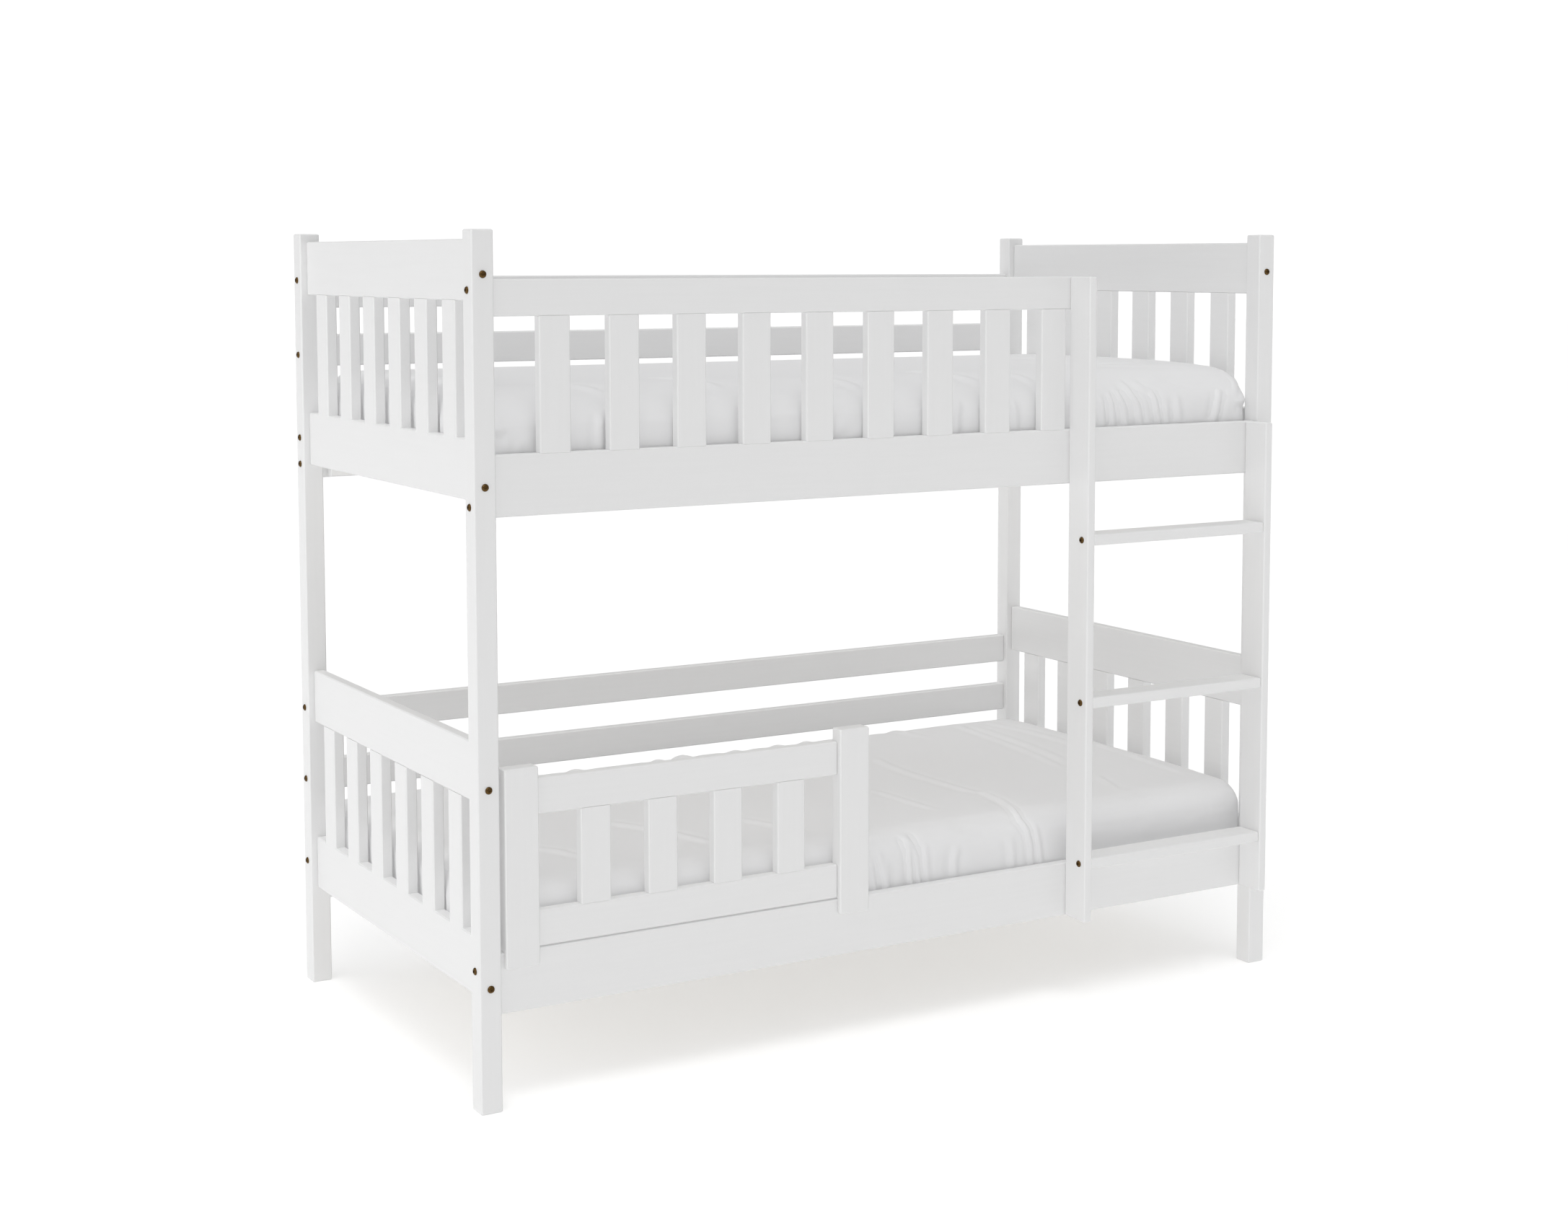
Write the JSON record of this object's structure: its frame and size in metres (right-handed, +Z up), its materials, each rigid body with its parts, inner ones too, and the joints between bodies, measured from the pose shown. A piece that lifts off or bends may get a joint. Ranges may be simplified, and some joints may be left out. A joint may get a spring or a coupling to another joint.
{
  "type": "bunk bed with ladder",
  "caption": "Bunk bed of white boards: slatted end panels, upper guard rail, bolted ladder with flat rungs, lift-off lower guard, and sheeted mattresses on slatted bases.",
  "frame": {"origin": "middle of the whole bed's bounding box, on the floor under the feet", "axes": "+X along the bed towards the ladder end, +Y from the ladder side to the back, +Z up"},
  "size_m": [1.668, 0.9182, 1.436],
  "materials": {
    "white_lacquer": "satin white lacquer over pine boards",
    "bare_pine": "planed, unpainted",
    "bronze_bolt": "antique bronze plating, darkened in the recess",
    "cotton_sheet": "white cotton percale, matt with a slight sheen"
  },
  "bodies": {
    "bed_frame": {"post_front_left": "white_lacquer", "post_front_right": "white_lacquer", "post_back_left": "white_lacquer", "post_back_right": "white_lacquer", "side_rail_lower_front": "white_lacquer", "side_rail_lower_back": "white_lacquer", "back_rail_lower_1": "white_lacquer", "back_rail_lower_2": "white_lacquer", "side_rail_upper_front": "white_lacquer", "side_rail_upper_back": "white_lacquer", "back_rail_upper_1": "white_lacquer", "back_rail_upper_2": "white_lacquer", "end_left_lower_slatted_board": "white_lacquer", "end_left_lower_top_board": "white_lacquer", "end_right_lower_slatted_board": "white_lacquer", "end_right_lower_top_board": "white_lacquer", "end_left_upper_slatted_board": "white_lacquer", "end_left_upper_top_board": "white_lacquer", "end_right_upper_slatted_board": "white_lacquer", "end_right_upper_top_board": "white_lacquer", "guard_rail": "white_lacquer", "guard_slat_1": "white_lacquer", "guard_slat_2": "white_lacquer", "guard_slat_3": "white_lacquer", "guard_slat_4": "white_lacquer", "guard_slat_5": "white_lacquer", "guard_slat_6": "white_lacquer", "guard_slat_7": "white_lacquer", "guard_slat_8": "white_lacquer", "guard_slat_9": "white_lacquer", "ladder_stile_left": "white_lacquer", "ladder_stile_right": "white_lacquer", "ladder_rung_1": "white_lacquer", "ladder_rung_2": "white_lacquer", "ladder_rung_3": "white_lacquer", "ladder_bolt_left_1": "bronze_bolt", "ladder_bolt_right_1": "bronze_bolt", "ladder_bolt_left_2": "bronze_bolt", "ladder_bolt_right_2": "bronze_bolt", "ladder_bolt_left_3": "bronze_bolt", "ladder_bolt_right_3": "bronze_bolt", "ledger_lower_front": "white_lacquer", "ledger_lower_back": "white_lacquer", "slatted_base_lower": "bare_pine", "ledger_upper_front": "white_lacquer", "ledger_upper_back": "white_lacquer", "slatted_base_upper": "bare_pine"},
    "lower_guard": {"barrier_upright_left": "white_lacquer", "barrier_upright_right": "white_lacquer", "barrier_rail_bottom": "white_lacquer", "barrier_rail_top": "white_lacquer", "barrier_slat_1": "white_lacquer", "barrier_slat_2": "white_lacquer", "barrier_slat_3": "white_lacquer", "barrier_slat_4": "white_lacquer"},
    "upper_mattress": {"mattress_upper": "cotton_sheet"},
    "lower_mattress": {"mattress_lower": "cotton_sheet"}
  },
  "joints": [
    {"name": "lower_guard_lift", "type": "slide", "parent": "bed_frame", "child": "lower_guard", "axis": [0, 0, 1], "range_m": [0, 0.12]},
    {"name": "upper_mattress_lift", "type": "slide", "parent": "bed_frame", "child": "upper_mattress", "axis": [0, 0, 1], "range_m": [0, 0.4]},
    {"name": "lower_mattress_lift", "type": "slide", "parent": "bed_frame", "child": "lower_mattress", "axis": [0, 0, 1], "range_m": [0, 0.36]}
  ]
}
